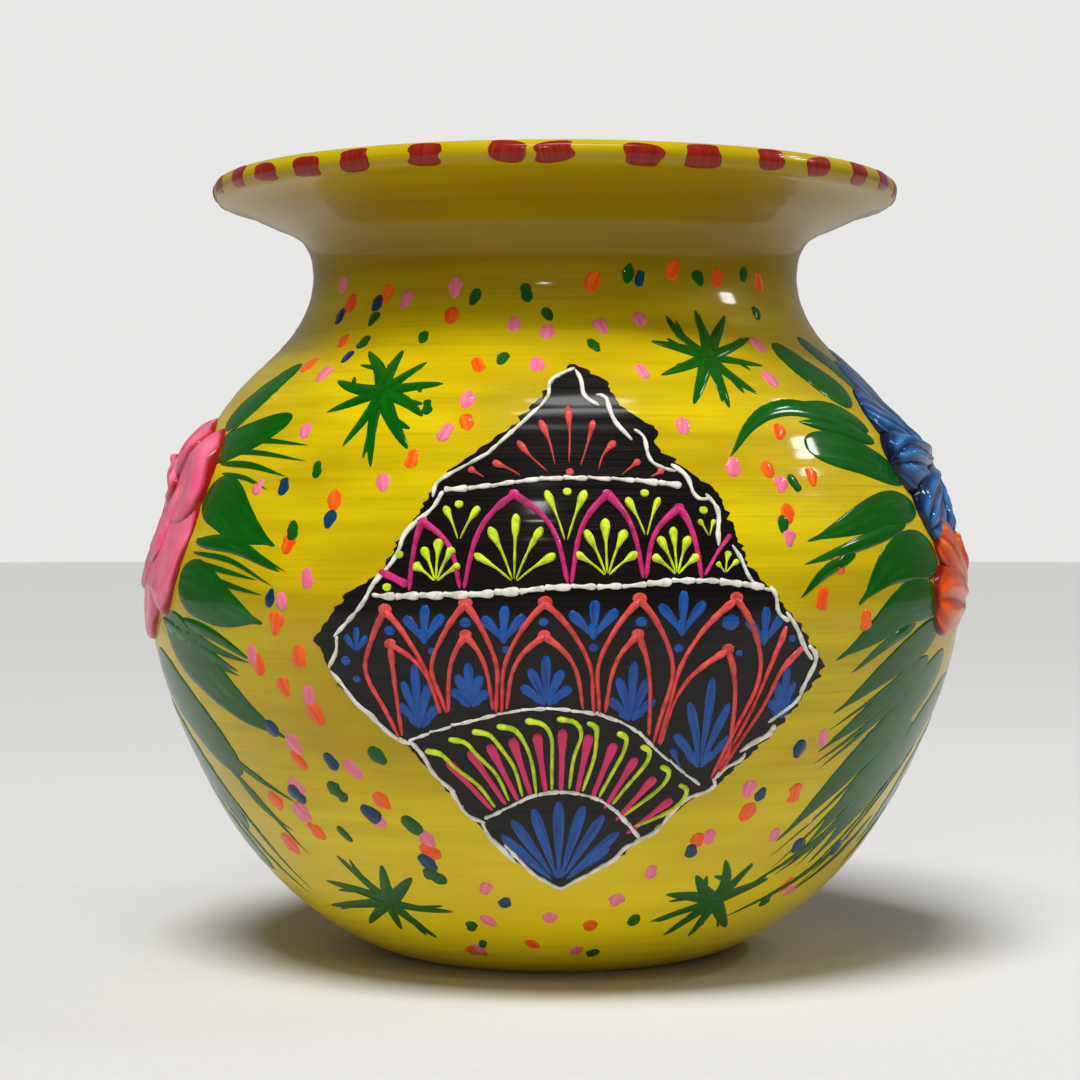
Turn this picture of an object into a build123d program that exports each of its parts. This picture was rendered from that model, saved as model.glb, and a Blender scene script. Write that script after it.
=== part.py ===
from build123d import *

import os
from math import cos, degrees, exp, hypot, pi, radians, sin

# A round-bellied clay pot with a wide flared lip. Its wall is made in two clay sections, a beaten bowl
# and a thrown shoulder with its neck and lip, luted together at the belly. Clay flowers are pressed
# onto its two flanks petal by petal: a rosette on the left, and on the right a daisy that sits over a
# half flower. The clay of the flowers is thickest over the shoulder.
# Millimetres, +Z up. The origin is the centre of the foot, and the front faces -Y.

# Driving dimensions of the pot
belly_radius = 122.0
belly_height = 107.0
foot_radius = 47.0
throat_radius = 73.5
throat_height = 203.0
lip_radius = 103.5
pot_height = 232.0
lip_thickness = 7.2
wall = 6.5
floor_thickness = 9.0
seam_drop = 5.0  # how far the luted joint falls from its outer edge to its inner one

# Driving dimensions of the flowers
pink_azimuth = -82.0  # degrees round from the front, to the right
pair_azimuth = 84.0
pink_height = 129.0  # the heights of the three flowers' hearts
blue_height = 146.0
orange_height = 107.0
waist_height = 125.5  # the level at which the blue flower and the orange one meet
waist_gap = 0.8
pink_reach = (46.0, 33.0)  # from each heart to its outermost petal tips, sideways and up
blue_reach = (45.0, 44.0)
orange_reach = (46.0, 44.0)
petals_per_turn = 14  # of the two flowers on the right
orange_petals = 8  # the upper petals of such a ring
outer_petal_height = 3.2  # how far each layer of clay stands out of the wall
inner_petal_height = 4.0
heart_height = 3.6
swelling = 3.0  # how much thicker the clay is over the shoulder
swelling_height = 150.0
swelling_spread = 11.0
slip = 0.05  # the dried slip that holds the clay to the wall
petal_gap = 0.4  # the scored line left between two petals
petal_root_width = 2.4
prism_depth = 30.0  # how far a petal's straight sides reach inward from the flower's plane
prism_height = 12.0

# The outer face of the wall, as radius and height, from the foot up
bowl_points = [
    (foot_radius, 0.0),
    (67.0, 8.8),
    (92.3, 32.0),
    (109.4, 61.5),
    (belly_radius, belly_height),
]
shoulder_points = [
    (belly_radius, belly_height),
    (112.3, 141.0),
    (94.5, 170.3),
    (81.0, 184.0),
    (throat_radius, throat_height),
    (76.6, 213.8),
    (88.0, 220.0),
    (lip_radius - lip_thickness / 2, pot_height - lip_thickness),
]


def bowl_curve():
    return Spline(*bowl_points, tangents=[(1, 0.22), (0, 1)])


def shoulder_curve():
    return Spline(*shoulder_points, tangents=[(0, 1), (1, 0.2)])


def beside(curve, share, distance):
    """The point that far out of the wall's face (inside it if negative), at that share of the curve."""
    point = curve @ share
    along = (curve % share).normalized()
    return (point.X + along.Y * distance, point.Y - along.X * distance)


def revolved(*edges):
    """The solid that a closed section, drawn as radius and height, sweeps round the pot's axis."""
    return revolve(Plane.XZ * make_face(Wire([*edges])), Axis.Z)


def lower_bowl():
    """The beaten bowl, from its flattened foot up to the luted joint."""
    outer = bowl_curve()
    seam_inner = (belly_radius - wall, belly_height - seam_drop)
    floor_edge = (foot_radius * 0.8, floor_thickness)
    inner = Spline(
        seam_inner,
        *[beside(outer, share, -wall) for share in (0.75, 0.5, 0.3)],
        floor_edge,
        tangents=[(0, -1), (-1, -0.1)],
    )
    return revolved(
        Line((0, 0), (foot_radius, 0)),
        outer,
        Line((belly_radius, belly_height), seam_inner),
        inner,
        Line(floor_edge, (0, floor_thickness)),
        Line((0, floor_thickness), (0, 0)),
    )


def upper_shell():
    """The thrown shoulder, neck and flared lip, from the luted joint up."""
    outer = shoulder_curve()
    seam_inner = (belly_radius - wall, belly_height - seam_drop)
    under_lip = outer @ 1
    lip_top = (under_lip.X, pot_height)
    lip = ThreePointArc(
        (under_lip.X, under_lip.Y), (lip_radius, pot_height - lip_thickness / 2), lip_top
    )
    inner = Spline(
        lip_top,
        (lip_radius - 18.0, pot_height - 4.0),
        (throat_radius - 1.5, pot_height - 11.0),
        (throat_radius - wall, throat_height + 2.0),
        *[beside(outer, share, -wall) for share in (0.55, 0.4, 0.2)],
        seam_inner,
        tangents=[(-1, -0.05), (0, -1)],
    )
    return revolved(outer, lip, inner, Line(seam_inner, (belly_radius, belly_height)))


def face_beside(distance_at):
    """A face beside the wall, over the heights where flowers may lie. The function gives how far out
    of the wall it stands at each height."""
    points = []
    for curve, shares in (
        (bowl_curve(), [0.4 + 0.05 * k for k in range(12)]),
        (shoulder_curve(), [0.05 * k for k in range(13)]),
    ):
        for share in shares:
            points.append(beside(curve, share, distance_at((curve @ share).Y)))
    return Spline(*points)


def relief_layer(petal_height):
    """The space that clay of that thickness fills on the wall, over a hair of dried slip. It swells
    over the shoulder and thins out above it."""

    def thickness_at(height):
        rise = (height - swelling_height) / swelling_spread
        return petal_height * (1 - 0.3 * max(0.0, rise)) + swelling * exp(-rise * rise)

    inner, outer = face_beside(lambda height: slip), face_beside(thickness_at)
    return revolved(inner, Line(inner @ 1, outer @ 1), outer, Line(outer @ 0, inner @ 0))


def petal_outline(angle, root, tip, half_width, fullness):
    """A petal that lies along the angle, from its narrow root to its rounded tip."""
    widest = root + (tip - root) * fullness
    root_half = petal_root_width / 2
    side = Spline(
        (root, root_half), (widest, half_width), (tip, 0), tangents=[(1, 0.5), (0.05, -1)]
    )
    other = Spline(
        (tip, 0), (widest, -half_width), (root, -root_half), tangents=[(-0.05, -1), (-1, 0.5)]
    )
    edge = Line((root, -root_half), (root, root_half))
    return Rot(0, 0, degrees(angle)) * make_face(Wire([side, other, edge]))


def ring_of_petals(count, phase, root, reach, crowding, fullness):
    """Petals round a flower, each with a second outline that is larger by the scored line round it.
    The function reach gives the tip's distance in each direction."""
    petals = []
    for k in range(count):
        angle = phase + 2 * pi * k / count
        tip = reach(angle)
        half_width = crowding * pi * (root + (tip - root) * fullness) / count
        petal = petal_outline(angle, root, tip, half_width, fullness)
        grown = petal_outline(
            angle, root - petal_gap, tip + petal_gap, half_width + petal_gap, fullness
        )
        petals.append((petal, grown))
    return petals


def lapped(petals):
    """The petals of a ring, each cut back along the edge of the next one, which lies over it."""
    following = petals[1:] + petals[:1]
    return [petal - over_it for (petal, _), (_, over_it) in zip(petals, following)]


def cut_back(outlines, covers):
    """The outlines without whatever the covers hide."""
    for cover in covers:
        outlines = [outline - cover for outline in outlines]
    return outlines


def share_at_height(curve, height):
    """The share of a rising curve's length at which it reaches the height, found by halving."""
    low, high = 0.0, 1.0
    for _ in range(24):
        middle = (low + high) / 2
        if (curve @ middle).Y < height:
            low = middle
        else:
            high = middle
    return low


def along_wall(height, other_height):
    """The distance along the shoulder's face between two heights, or from the belly to one of them."""
    shoulder = shoulder_curve()
    shares = [
        share_at_height(shoulder, h) if h > belly_height else 0.0
        for h in (height, other_height)
    ]
    return abs(shares[0] - shares[1]) * shoulder.length


def flower_plane(azimuth, height):
    """The plane that touches the wall at that height and that many degrees round from the front."""
    curve = bowl_curve() if height < belly_height else shoulder_curve()
    share = share_at_height(curve, height)
    point, along = curve @ share, (curve % share).normalized()
    turn = radians(azimuth)
    outward = (sin(turn), -cos(turn))
    return Plane(
        origin=(outward[0] * point.X, outward[1] * point.X, point.Y),
        x_dir=(cos(turn), sin(turn), 0),
        z_dir=(outward[0] * along.Y, outward[1] * along.Y, -along.X),
    )


def oval_reach(sideways, up):
    """The reach of a flower with that half-width and half-height, in every direction."""
    return lambda angle: 1 / hypot(cos(angle) / sideways, sin(angle) / up)


def stopped_reach(free_reach, stop, upward):
    """The reach of a flower that stops at a level line above its heart (upward 1) or below it (-1)."""

    def reach(angle):
        free, toward = free_reach(angle), upward * sin(angle)
        return free if toward * free <= stop else stop / toward

    return reach


def press_on(name, outline, plane, layer):
    """Write one piece of clay: its straight prism, kept only where it lies in the relief layer."""
    base = plane.offset(-prism_depth) * outline
    prism = extrude(base, prism_depth + prism_height, dir=plane.z_dir)
    clay = max((prism & layer).solids(), key=lambda solid: solid.volume)
    export_step(clay, f"parts/{name}.step")


def rosette(name, plane, reach, layers):
    """The rosette: a button heart, six inner petals and nine outer ones, each lapping the next."""
    heart = Circle(7.0)
    inner = ring_of_petals(6, 0, 7.5, lambda angle: 0.57 * reach(angle), 1.12, 0.62)
    outer = ring_of_petals(9, radians(24), 14.0, reach, 1.15, 0.68)
    outer_seen = cut_back(lapped(outer), [grown for _, grown in inner])
    inner_seen = cut_back(lapped(inner), [Circle(7.0 + petal_gap)])
    press_on(f"{name}_heart", heart, plane, layers["heart"])
    for k, outline in enumerate(inner_seen):
        press_on(f"{name}_inner_{k + 1}", outline, plane, layers["inner"])
    for k, outline in enumerate(outer_seen):
        press_on(f"{name}_outer_{k + 1}", outline, plane, layers["outer"])


def daisy(name, plane, kept, reach, heart_radius, layers):
    """A flower with a ring of long petals round a button heart, or only the first few of the ring."""
    petals = ring_of_petals(petals_per_turn, 0, heart_radius * 0.8, reach, 1.06, 0.66)
    petals_seen = cut_back(lapped(petals[:kept]), [Circle(heart_radius + petal_gap)])
    press_on(f"{name}_heart", Circle(heart_radius), plane, layers["heart"])
    for k, outline in enumerate(petals_seen):
        press_on(f"{name}_petal_{k + 1}", outline, plane, layers["outer"])


def main():
    os.makedirs("parts", exist_ok=True)
    export_step(lower_bowl(), "parts/lower_bowl.step")
    export_step(upper_shell(), "parts/upper_shell.step")

    layers = {
        "outer": relief_layer(outer_petal_height),
        "inner": relief_layer(inner_petal_height),
        "heart": relief_layer(heart_height),
    }
    rosette("pink", flower_plane(pink_azimuth, pink_height), oval_reach(*pink_reach), layers)

    # The two flowers on the right stop at a level line between their hearts, where they meet
    blue_stop = along_wall(blue_height, waist_height) - waist_gap / 2
    orange_stop = along_wall(orange_height, waist_height) - waist_gap / 2
    above = Pos(0, 0, waist_height + waist_gap / 2) * Box(
        3 * belly_radius, 3 * belly_radius, pot_height, align=(Align.CENTER, Align.CENTER, Align.MIN)
    )
    below = Pos(0, 0, waist_height - waist_gap / 2) * Box(
        3 * belly_radius, 3 * belly_radius, pot_height, align=(Align.CENTER, Align.CENTER, Align.MAX)
    )
    daisy(
        "blue",
        flower_plane(pair_azimuth, blue_height),
        petals_per_turn,
        stopped_reach(oval_reach(*blue_reach), blue_stop, -1),
        8.0,
        {name: layer & above for name, layer in layers.items()},
    )
    daisy(
        "orange",
        flower_plane(pair_azimuth, orange_height),
        orange_petals,
        stopped_reach(oval_reach(*orange_reach), orange_stop, 1),
        6.5,
        {name: layer & below for name, layer in layers.items()},
    )


main()
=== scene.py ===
import random
from math import ceil, cos, degrees, exp, hypot, pi, radians, sin, sqrt

import bmesh
import bpy
import numpy as np
from mathutils import Matrix, Vector, noise
from mathutils.geometry import interpolate_bezier


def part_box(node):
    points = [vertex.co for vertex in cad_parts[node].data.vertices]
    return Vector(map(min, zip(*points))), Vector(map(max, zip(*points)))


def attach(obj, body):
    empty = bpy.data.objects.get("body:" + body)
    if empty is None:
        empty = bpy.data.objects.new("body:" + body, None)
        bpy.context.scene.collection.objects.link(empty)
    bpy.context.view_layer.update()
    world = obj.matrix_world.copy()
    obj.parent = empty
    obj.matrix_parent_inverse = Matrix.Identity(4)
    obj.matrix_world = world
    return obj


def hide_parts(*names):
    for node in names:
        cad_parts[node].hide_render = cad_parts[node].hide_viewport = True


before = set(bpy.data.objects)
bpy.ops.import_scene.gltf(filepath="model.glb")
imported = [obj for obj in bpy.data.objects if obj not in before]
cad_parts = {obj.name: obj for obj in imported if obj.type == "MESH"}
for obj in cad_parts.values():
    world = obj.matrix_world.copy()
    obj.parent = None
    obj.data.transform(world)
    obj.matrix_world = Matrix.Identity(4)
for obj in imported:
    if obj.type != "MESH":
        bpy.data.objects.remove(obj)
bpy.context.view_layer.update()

# ---- The pot's wall ----
# Two sections of low-fired red clay, a beaten bowl and a thrown shoulder with its neck and lip,
# luted together at the belly. Each is its outline, from the foot up, turned once round the axis.

MM = 0.001  # lengths are in millimetres, and this turns them to metres
wall = 6.5
belly_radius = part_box("lower_bowl")[1].x / MM
belly_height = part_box("lower_bowl")[1].z / MM
pot_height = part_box("upper_shell")[1].z / MM
foot_radius = 47.0
floor_thickness = 9.0
seam_drop = 5.0
lip_half = 3.6  # half the lip's thickness, which is also the radius of its rounded edge
lip_centre = 99.9  # how far that rounding's centre is from the axis
ridge_pitch = 6.4  # the finger ridges of throwing, faint but enough to ripple a reflection
ridge_depth = 0.045

bowl_points = [(foot_radius, 0), (67, 8.8), (92.3, 32), (109.4, 61.5), (belly_radius, belly_height)]
shoulder_points = [
    (belly_radius, belly_height),
    (112.3, 141),
    (94.5, 170.3),
    (81, 184),
    (73.5, 203),
    (76.6, 213.8),
    (88, 220),
    (lip_centre, pot_height - 2 * lip_half),
]
seam_inner = (belly_radius - wall, belly_height - seam_drop)
floor_edge = (foot_radius * 0.8, floor_thickness)


def smooth_line(points, start=None, end=None, step=1.5):
    """A smooth line through the points, that leaves along start and arrives along end."""
    points = np.array(points, float)
    chords = np.diff(points, axis=0)
    spans = np.hypot(*chords.T)
    system = np.eye(len(points))
    slopes = np.zeros_like(points)
    for k, along_end in ((0, start), (-1, end)):
        way = chords[k] if along_end is None else np.array(along_end, float)
        slopes[k] = way / np.hypot(*way)
    for k in range(1, len(points) - 1):
        before, after = spans[k - 1], spans[k]
        system[k, k - 1 : k + 2] = 1 / before, 2 / before + 2 / after, 1 / after
        slopes[k] = 3 * (chords[k - 1] / before**2 + chords[k] / after**2)
    slopes = np.linalg.solve(system, slopes)
    line = [Vector(points[0])]
    for k, span in enumerate(spans):
        leaving = points[k] + slopes[k] * span / 3
        arriving = points[k + 1] - slopes[k + 1] * span / 3
        count = max(3, ceil(span / step) + 1)
        ends = Vector(points[k]), Vector(leaving), Vector(arriving), Vector(points[k + 1])
        line += interpolate_bezier(*ends, count)[1:]
    return line


def lengths_along(line):
    """The distance from the line's start to each of its points."""
    return np.concatenate([[0.0], np.cumsum(np.hypot(*np.diff(np.array(line), axis=0).T))])


def beside(line, share, distance):
    """The point that far out of a wall's face (inside it if negative), at that share of its length."""
    lengths = lengths_along(line)
    here = [np.interp(share * lengths[-1] + ahead, lengths, np.array(line).T[axis])
            for ahead in (-0.5, 0.5) for axis in (0, 1)]
    low, high = Vector(here[:2]), Vector(here[2:])
    way = (high - low).normalized()
    return (low + high) / 2 + Vector((way.y, -way.x)) * distance


def ridge(s):
    """How far the finger ridges raise the wall, that far along its face."""
    return ridge_depth * (sin(2 * pi * s / ridge_pitch) + 0.5 * sin(2 * pi * s / 3.3 + 1))


bowl_face = smooth_line(bowl_points, (1, 0.22), (0, 1))
shoulder_face = smooth_line(shoulder_points, (0, 1), (1, 0.2))
lip_face = [
    Vector((lip_centre + lip_half * cos(pi * k / 12), pot_height - lip_half + lip_half * sin(pi * k / 12)))
    for k in range(-6, 7)
]
shoulder_lining = smooth_line(
    [
        lip_face[-1],
        (85.5, pot_height - 4),
        (72, pot_height - 11),
        (67, 205),
        *[beside(shoulder_face, share, -wall) for share in (0.55, 0.4, 0.2)],
        seam_inner,
    ],
    (-1, -0.05),
    (0, -1),
    3.0,
)
bowl_lining = smooth_line(
    [seam_inner, *[beside(bowl_face, share, -wall) for share in (0.75, 0.5, 0.3)], floor_edge],
    (0, -1),
    (-1, -0.1),
    4.0,
)

# The painted face as a table: the distance along it from the foot's edge, over the belly and the lip
# and on down the throat, then each point's radius and height and which way is out of the wall there
face_line = np.array(bowl_face + shoulder_face[1:] + lip_face[1:] + shoulder_lining[1:])
face_length = lengths_along(face_line)
face_way = np.gradient(face_line, face_length, axis=0)
face_way /= np.hypot(*face_way.T)[:, None]
outward = np.stack([face_way[:, 1], -face_way[:, 0]], 1)
face_end = len(bowl_face) + len(shoulder_face) - 1
for k in range(face_end):
    calm = min(1.0, face_length[k] / 12, (face_length[face_end - 1] - face_length[k]) / 12)
    face_line[k] += outward[k] * ridge(face_length[k]) * calm


def radius_at(s):
    """The wall's radius that far along its face."""
    return float(np.interp(s, face_length, face_line[:, 0]))


def length_at(height):
    """How far along the face, from the foot, the wall first comes up to that height."""
    return float(np.interp(height, face_line[:face_end, 1], face_length[:face_end]))


def on_wall(turn, s, out=0.0):
    """The place, in metres, at so many degrees round from the front and so far along the face,
    standing that many millimetres out of it."""
    radius, height = (np.interp(s, face_length, face_line[:, axis]) for axis in (0, 1))
    aside, up = (np.interp(s, face_length, outward[:, axis]) for axis in (0, 1))
    radius += aside * out
    return Vector((radius * sin(radians(turn)), -radius * cos(radians(turn)), height + up * out)) * MM


def spun(profile, bare):
    """A wall section: its outline, with each point's share of bare clay, turned round the axis."""
    bm = bmesh.new()
    bare_layer = bm.verts.layers.float.new("bare")
    verts = []
    for (radius, height), share in zip(profile, bare):
        vert = bm.verts.new((radius * MM, 0, height * MM))
        vert[bare_layer] = share
        verts.append(vert)
    edges = [bm.edges.new(pair) for pair in zip(verts, verts[1:])]
    if profile[0][0] > 0:
        edges.append(bm.edges.new((verts[-1], verts[0])))
    bmesh.ops.spin(bm, geom=verts + edges, cent=(0, 0, 0), axis=(0, 0, 1), angle=2 * pi, steps=240,
                   use_merge=True)
    bmesh.ops.remove_doubles(bm, verts=bm.verts, dist=1e-6)
    return bm


def finished(bm, name, material):
    """Make the mesh an object that rides with the pot, its faces outward and its corners crisp."""
    bmesh.ops.recalc_face_normals(bm, faces=bm.faces)
    mesh = bpy.data.meshes.new(name)
    bm.to_mesh(mesh)
    bm.free()
    mesh.materials.append(material)
    mesh.shade_smooth()
    mesh.set_sharp_from_angle(angle=radians(48))
    made = bpy.data.objects.new(name, mesh)
    bpy.context.scene.collection.objects.link(made)
    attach(made, "root")
    return made


def linear(colour):
    """An sRGB hex colour, such as debf05, as linear red, green, blue and alpha."""
    shares = [int(colour[k : k + 2], 16) / 255 for k in (0, 2, 4)]
    return (*[c / 12.92 if c <= 0.04045 else ((c + 0.055) / 1.055) ** 2.4 for c in shares], 1.0)


def plug(material, node, sockets):
    """Give each named socket of a node its value or another node's output."""
    for socket, value in sockets.items():
        if isinstance(value, bpy.types.NodeSocket):
            material.node_tree.links.new(value, node.inputs[socket])
        else:
            node.inputs[socket].default_value = value


def add(material, kind, sockets, output=0, **settings):
    """Add a shader node with its settings and links, and give back one of its outputs."""
    node = material.node_tree.nodes.new("ShaderNode" + kind)
    for name, value in settings.items():
        setattr(node, name, value)
    plug(material, node, sockets)
    return node.outputs[output]


def varnished(name, roughness=0.42, gloss=0.6, haze=0.09):
    """A paint under the clear varnish that was brushed over the whole pot: the paint's own matt
    surface shows its colour, and the varnish over it mirrors the room."""
    material = bpy.data.materials.new(name)
    material.use_nodes = True
    shader = material.node_tree.nodes["Principled BSDF"]
    plug(material, shader, {"Roughness": roughness, "IOR": 1.48, "Specular IOR Level": 0.12,
                            "Coat Weight": gloss, "Coat Roughness": haze, "Coat IOR": 1.42})
    return material, shader


# Yellow enamel, brushed round and round on the turning pot. It lies in level streaks, thin and olive
# over the clay in some and thick and bright in others. Painted shade darkens it in the hollow of the neck
# and under the lip, and painted bounce light from the table makes it a brighter lemon near the foot.
# The inside below the throat and the underside are bare red clay.
yellow, shader = varnished("yellow_brushed_enamel")
place = add(yellow, "TexCoord", {}, "Object")
height_above = add(yellow, "SeparateXYZ", {0: place}, "Z")

# The streaks are 110 mm long and 7 mm high, the marks of the brush's hairs 55 by 1 mm, the patches of
# thicker paint 77 by 24 mm, and the clay's grit is about a millimetre
streak_space = add(yellow, "Mapping", {0: place, 3: (9, 9, 150)})
hair_space = add(yellow, "Mapping", {0: place, 3: (18, 18, 1100)})
patch_space = add(yellow, "Mapping", {0: place, 3: (13, 13, 42)})
streaks = add(yellow, "TexNoise", {"Vector": streak_space, "Scale": 1.0, "Detail": 3.0})
hairs = add(yellow, "TexNoise", {"Vector": hair_space, "Scale": 1.0, "Detail": 2.0})
patches = add(yellow, "TexNoise", {"Vector": patch_space, "Scale": 1.0, "Detail": 3.0})
clay_grit = add(yellow, "TexNoise", {"Vector": place, "Scale": 900.0, "Detail": 4.0})

thin = add(yellow, "MapRange", {"Value": streaks, "From Min": 0.42, "From Max": 0.85})
thick = add(yellow, "MapRange", {"Value": patches, "From Min": 0.36, "From Max": 0.62})
fine = add(yellow, "MapRange", {"Value": hairs, "From Min": 0.54, "From Max": 1.15})
# Painted shade: the enamel is darkened from the throat up to the lip, where the lip shades the neck
rising = add(yellow, "MapRange", {"Value": height_above, "From Min": 188 * MM, "From Max": 203 * MM})
falling = add(yellow, "MapRange", {"Value": height_above, "From Min": 221.5 * MM, "From Max": 236 * MM,
                                   "To Min": 0.75, "To Max": 0.0})
painted_neck_shade = add(yellow, "Math", {0: rising, 1: falling}, operation="MULTIPLY")
# Painted bounce light: the enamel is brightened towards the foot, as if lit from below by the pale table
painted_foot_bounce = add(yellow, "MapRange", {"Value": height_above, "From Min": 70 * MM, "From Max": 10 * MM,
                                     "To Max": 0.7})
coat = linear("bd9f05")
# Mixed in turn: thicker patches, thin streaks and brush hairs, then the painted neck shade and the painted
# foot bounce light
for share, tint in ((thick, "dcc204"), (thin, "b29a03"), (fine, "a68c03"), (painted_neck_shade, "7d6503"),
                    (painted_foot_bounce, "f8de08")):
    coat = add(yellow, "Mix", {0: share, 6: coat, 7: linear(tint)}, 2, data_type="RGBA")
clay = add(yellow, "Mix", {0: clay_grit, 6: linear("7c3f24"), 7: linear("b3693f")}, 2, data_type="RGBA")

# The paint ends raggedly in the throat, where the brush no longer reached
ragged = add(yellow, "MapRange", {"Value": patches, "To Min": 178 * MM, "To Max": 212 * MM})
below = add(yellow, "Math", {0: height_above, 1: ragged}, operation="LESS_THAN")
bare_share = add(yellow, "Attribute", {}, "Fac", attribute_name="bare")
is_bare = add(yellow, "Math", {0: bare_share, 1: below}, operation="MULTIPLY")
is_bare = add(yellow, "Math", {0: is_bare, 1: 0.5}, operation="GREATER_THAN")
surface = add(yellow, "Mix", {0: is_bare, 6: coat, 7: clay}, 2, data_type="RGBA")
gloss = add(yellow, "MapRange", {"Value": is_bare, "To Min": 0.5, "To Max": 0.0})
brush_marks = add(yellow, "Bump", {"Strength": 0.35, "Distance": 0.3 * MM, "Height": hairs})
clay_marks = add(yellow, "Bump", {"Strength": is_bare, "Distance": 0.4 * MM, "Height": clay_grit,
                                  "Normal": brush_marks})
plug(yellow, shader, {"Base Color": surface, "Coat Weight": gloss, "Normal": clay_marks})

ridged = [tuple(point) for point in face_line[:face_end]]
bowl_outline = [(0, 0), *ridged[: len(bowl_face)], *bowl_lining, (0, floor_thickness)]
painted = 1 + len(bowl_face)
bare = [1] + [0] * (painted - 1) + [1] * (len(bowl_outline) - painted)
bowl = finished(spun(bowl_outline, bare), "painted_bowl", yellow)
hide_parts("lower_bowl")

shoulder_outline = [*ridged[len(bowl_face) - 1 :], *lip_face[1:], *shoulder_lining[1:]]
painted = len(shoulder_outline) - len(shoulder_lining) + 4
bare = [0] * painted + [1] * (len(shoulder_outline) - painted)
shoulder = finished(spun(shoulder_outline, bare), "painted_shoulder", yellow)
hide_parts("upper_shell")

# ---- The red dashes round the lip ----
# Red enamel, dabbed on with a flat brush a little over every ten degrees, after the yellow had
# dried. Each dash starts low on the lip's rounded edge and is pulled up over it onto the top.

hand = random.Random(11)
front_dashes = (-73, -61.5, -52, -42, -31.5, -20, -8, 0.4, 12.5, 22.4, 35.5, 46, 57, 68)
back_dashes = [79 + 10.4 * k for k in range(20)]
lip_start = float(face_length[face_end - 1])


def round_ends(t, square):
    """How full a stroke with round ends is at t, from 0 at its start to 1 at its end. The higher
    the last number, the squarer its ends."""
    return sqrt(max(0.0, 1 - abs(2 * t - 1) ** square))


def pad(t):
    """The outline of a square-ended dab, fuller at its far end."""
    return round_ends(t, 5) * (0.86 + 0.14 * t)


def paint_mesh():
    """An empty mesh for strokes of paint, which notes where along and across its stroke a point is."""
    bm = bmesh.new()
    bm.verts.layers.float_vector.new("grain")
    return bm


def stroke(bm, points, half_width, height, outline, flat=0.35, step=3.0, lumps=0.0, sides=8):
    """Lay one stroke of paint along a line on the wall: a ball pulled out along the line and half
    sunk into the wall. Points are turns and distances along the face. Flat under 1 makes it a film
    with steep edges. Lumps let its width come and go as it was squeezed out."""
    line = smooth_line(points)
    lengths = np.concatenate([[0.0], np.cumsum([
        hypot(radians(b.x - a.x) * radius_at(a.y), b.y - a.y) for a, b in zip(line, line[1:])
    ])])
    total = float(lengths[-1])
    track = np.array(line).T

    def at(length):
        """The turn and the distance along the face, that far from the stroke's start."""
        return [float(np.interp(length, lengths, values)) for values in track]

    seed = hand.uniform(0, 90)
    grain = bm.verts.layers.float_vector["grain"]
    ball = bmesh.ops.create_uvsphere(
        bm, u_segments=sides, v_segments=max(5, min(60, ceil(total / step) + 3)), radius=1.0
    )
    for vert in ball["verts"]:
        t = (1 + vert.co.z) / 2
        round_it = hypot(vert.co.x, vert.co.y)
        aside, rise = (vert.co.x / round_it, vert.co.y / round_it) if round_it > 1e-4 else (0, 0)
        turn, s = at(t * total)
        ahead, ahead_s = at(t * total + 0.6)
        behind, behind_s = at(t * total - 0.6)
        radius = radius_at(s)
        way = Vector((radians(ahead - behind) * radius, ahead_s - behind_s)).normalized()
        share = outline(t) * (1 + lumps * noise.noise(Vector((t * total / 2.2, seed, 0))))
        across = half_width * share * abs(aside) ** ((1 + flat) / 2) * (1 if aside > 0 else -1)
        out = height * min(1.0, share) ** 0.5 * rise**flat if rise > 0 else -0.25 * min(1.0, share)
        vert.co = on_wall(turn + degrees(-way.y * across / radius), s + way.x * across, out)
        vert[grain] = (t * total, across, seed)


def two_toned(material, shader, pattern, start, end, colours, strength, depth):
    """Colour a paint by a pattern, from its first colour where the pattern is at start to its
    second at end, and let the same pattern stand out of the surface, so many millimetres deep."""
    share = add(material, "MapRange", {"Value": pattern, "From Min": start, "From Max": end})
    tints = {6: linear(colours[0]), 7: linear(colours[1])}
    colour = add(material, "Mix", {0: share, **tints}, 2, data_type="RGBA")
    marks = add(material, "Bump", {"Strength": strength, "Distance": depth * MM, "Height": pattern})
    plug(material, shader, {"Base Color": colour, "Normal": marks})


def brushed(name, thick, thin, streak=0.8, cover=0.62):
    """A brushed paint. Its streaks follow each stroke, 14 mm long and one every so many millimetres
    across it: the thick colour where the brush left most paint, the thin one where it left least."""
    material, shader = varnished(name)
    grain = add(material, "Attribute", {}, "Vector", attribute_name="grain")
    streak_space = add(material, "Mapping", {0: grain, 3: (0.07, 1 / streak, 1.0)})
    streaks = add(material, "TexNoise", {"Vector": streak_space, "Scale": 1.0, "Detail": 3.0})
    two_toned(material, shader, streaks, cover - 0.2, cover + 0.1, (thick, thin), 0.5, 0.2)
    return material


# Red enamel: the flat brush leaves it streaked across the lip, darker where it is thick
red_enamel = brushed("red_brushed_enamel", "83180b", "9e2a18")
dashes = paint_mesh()
for turn in (*front_dashes, *back_dashes):
    turn += hand.uniform(-0.5, 0.5)
    slant = hand.uniform(-0.8, 0.8)
    low, high = lip_start + hand.uniform(1.2, 2.6), lip_start + hand.uniform(8, 10)
    stroke(dashes, [(turn, low), (turn + slant, high)], hand.uniform(4.7, 5.9), 0.22, pad,
           step=0.9, lumps=0.3, sides=14)
finished(dashes, "red_lip_dashes", red_enamel)

# ---- The black panel ----
# A four-cornered patch of black enamel on the front of the belly, brushed on freehand so that its
# edge is ragged, and another like it on the back. It carries the squeezed and brushed patterns.

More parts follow.
